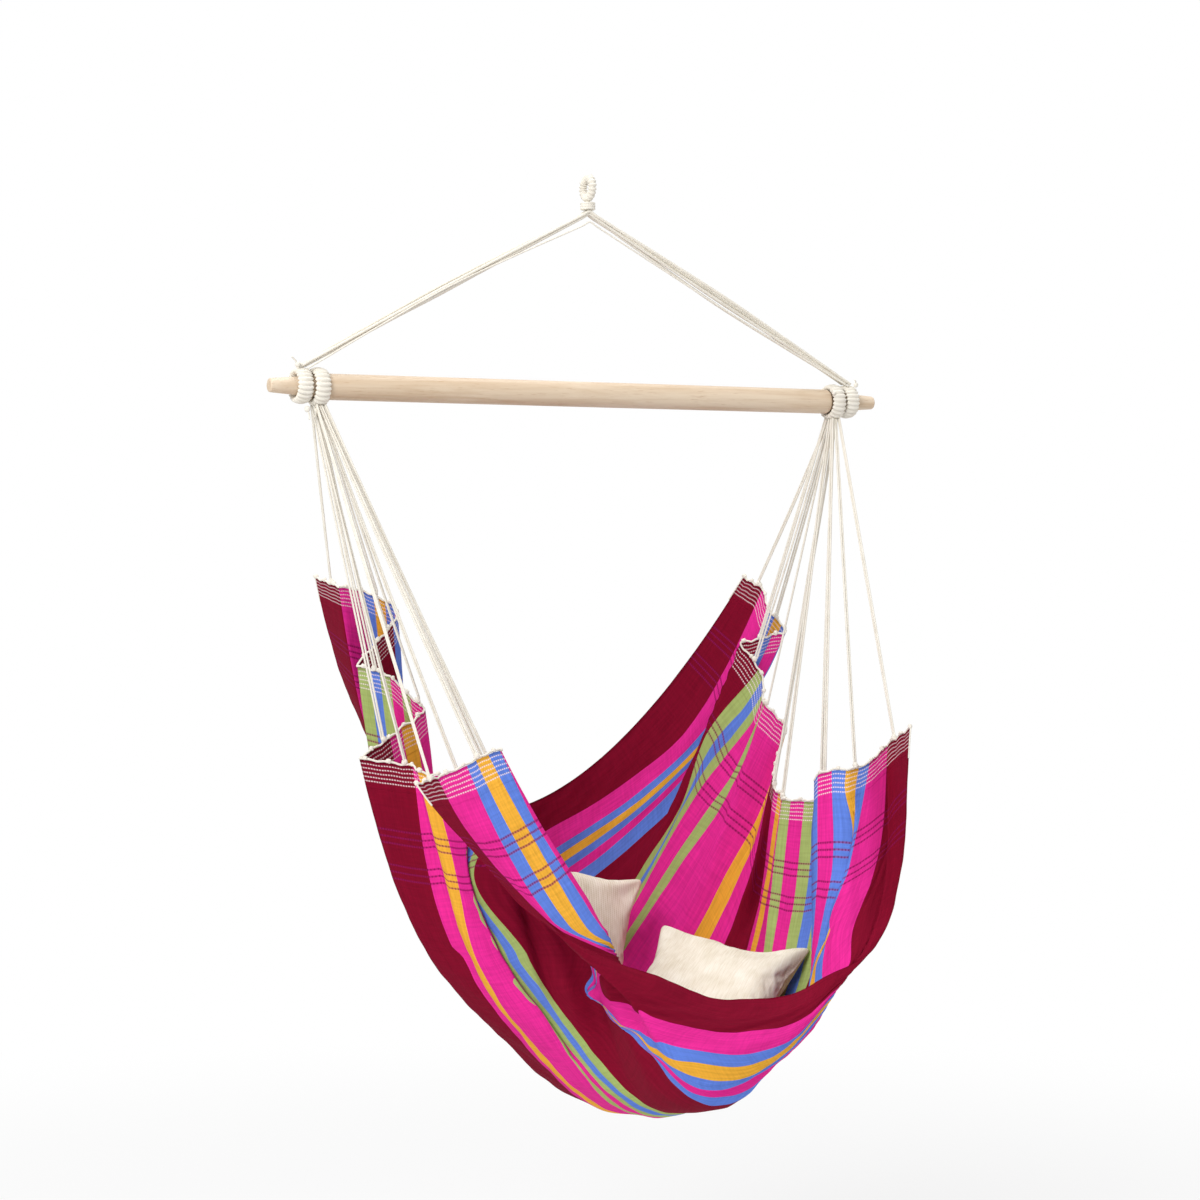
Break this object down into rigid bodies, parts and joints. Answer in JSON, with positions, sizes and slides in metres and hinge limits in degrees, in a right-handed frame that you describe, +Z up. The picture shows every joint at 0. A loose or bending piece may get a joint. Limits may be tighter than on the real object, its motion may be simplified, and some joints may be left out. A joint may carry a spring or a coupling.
{
  "type": "hammock chair",
  "caption": "Hanging chair: a striped woven sling with cushions, carried by clew cords on a turned wooden spreader bar under a corded bridle and hanging loop.",
  "frame": {"origin": "where a hook carries the chair: the top of the hole in the hanging loop, over the middle of the spreader bar", "axes": "+Z up; +X along the spreader bar, to the right for someone who looks into the seat from its open front; +Y from the front of the seat to its back"},
  "size_m": [1.02, 0.7788, 1.4128],
  "materials": {
    "wood": "fine-sanded pale hardwood",
    "cord": "twisted natural cotton cord",
    "cloth": "heavy woven cotton, dark red and pink with blue, yellow and green stripes",
    "pillow": "coarse natural woven cotton"
  },
  "bodies": {
    "loop": {"hanging_loop": "cord"},
    "throat": {"throat_whipping": "cord"},
    "bridle": {"bridle_cord_1": "cord", "bridle_cord_2": "cord", "bridle_cord_3": "cord", "bridle_cord_4": "cord", "bridle_cord_5": "cord", "bridle_cord_6": "cord", "bridle_cord_7": "cord", "bridle_cord_loose": "cord", "bridle_eye_left": "cord", "bridle_eye_right": "cord"},
    "bar": {"spreader_bar": "wood"},
    "sling": {"clew_eye_left": "cord", "clew_eye_right": "cord", "clew_cord_left_1": "cord", "clew_cord_left_2": "cord", "clew_cord_left_3": "cord", "clew_cord_left_4": "cord", "clew_cord_left_5": "cord", "clew_cord_left_6": "cord", "clew_cord_left_7": "cord", "clew_cord_left_8": "cord", "clew_cord_left_9": "cord", "clew_cord_left_10": "cord", "clew_cord_left_11": "cord", "clew_cord_left_12": "cord", "clew_cord_right_1": "cord", "clew_cord_right_2": "cord", "clew_cord_right_3": "cord", "clew_cord_right_4": "cord", "clew_cord_right_5": "cord", "clew_cord_right_6": "cord", "clew_cord_right_7": "cord", "clew_cord_right_8": "cord", "clew_cord_right_9": "cord", "clew_cord_right_10": "cord", "clew_cord_right_11": "cord", "clew_cord_right_12": "cord", "hem_cord_left": "cord", "hem_cord_right": "cord", "corner_cord_front_left": "cord", "corner_cord_back_left": "cord", "corner_cord_front_right": "cord", "corner_cord_back_right": "cord", "seat_cloth": "cloth"},
    "cushion_back": {"cushion_back": "pillow"},
    "cushion_front": {"cushion_front": "pillow"}
  },
  "joints": [
    {"name": "fore_aft_swing", "type": "hinge", "parent": "loop", "child": "throat", "pos_m": [0, 0, -0.0085], "axis": [1, 0, 0], "range_deg": [-25, 25]},
    {"name": "side_sway", "type": "hinge", "parent": "throat", "child": "bridle", "pos_m": [0, 0, -0.062], "axis": [0, 1, 0], "range_deg": [-10, 10]},
    {"name": "bar_roll", "type": "hinge", "parent": "bridle", "child": "bar", "pos_m": [0, 0, -0.319], "axis": [1, 0, 0], "continuous": true},
    {"name": "seat_swing", "type": "hinge", "parent": "bridle", "child": "sling", "pos_m": [0, 0, -0.319], "axis": [1, 0, 0], "range_deg": [-30, 30]},
    {"name": "back_cushion_lift", "type": "slide", "parent": "sling", "child": "cushion_back", "axis": [0, 0, 1], "range_m": [0, 0.4]},
    {"name": "front_cushion_lift", "type": "slide", "parent": "sling", "child": "cushion_front", "axis": [0, 0.0995, 0.995], "range_m": [0, 0.4]}
  ]
}
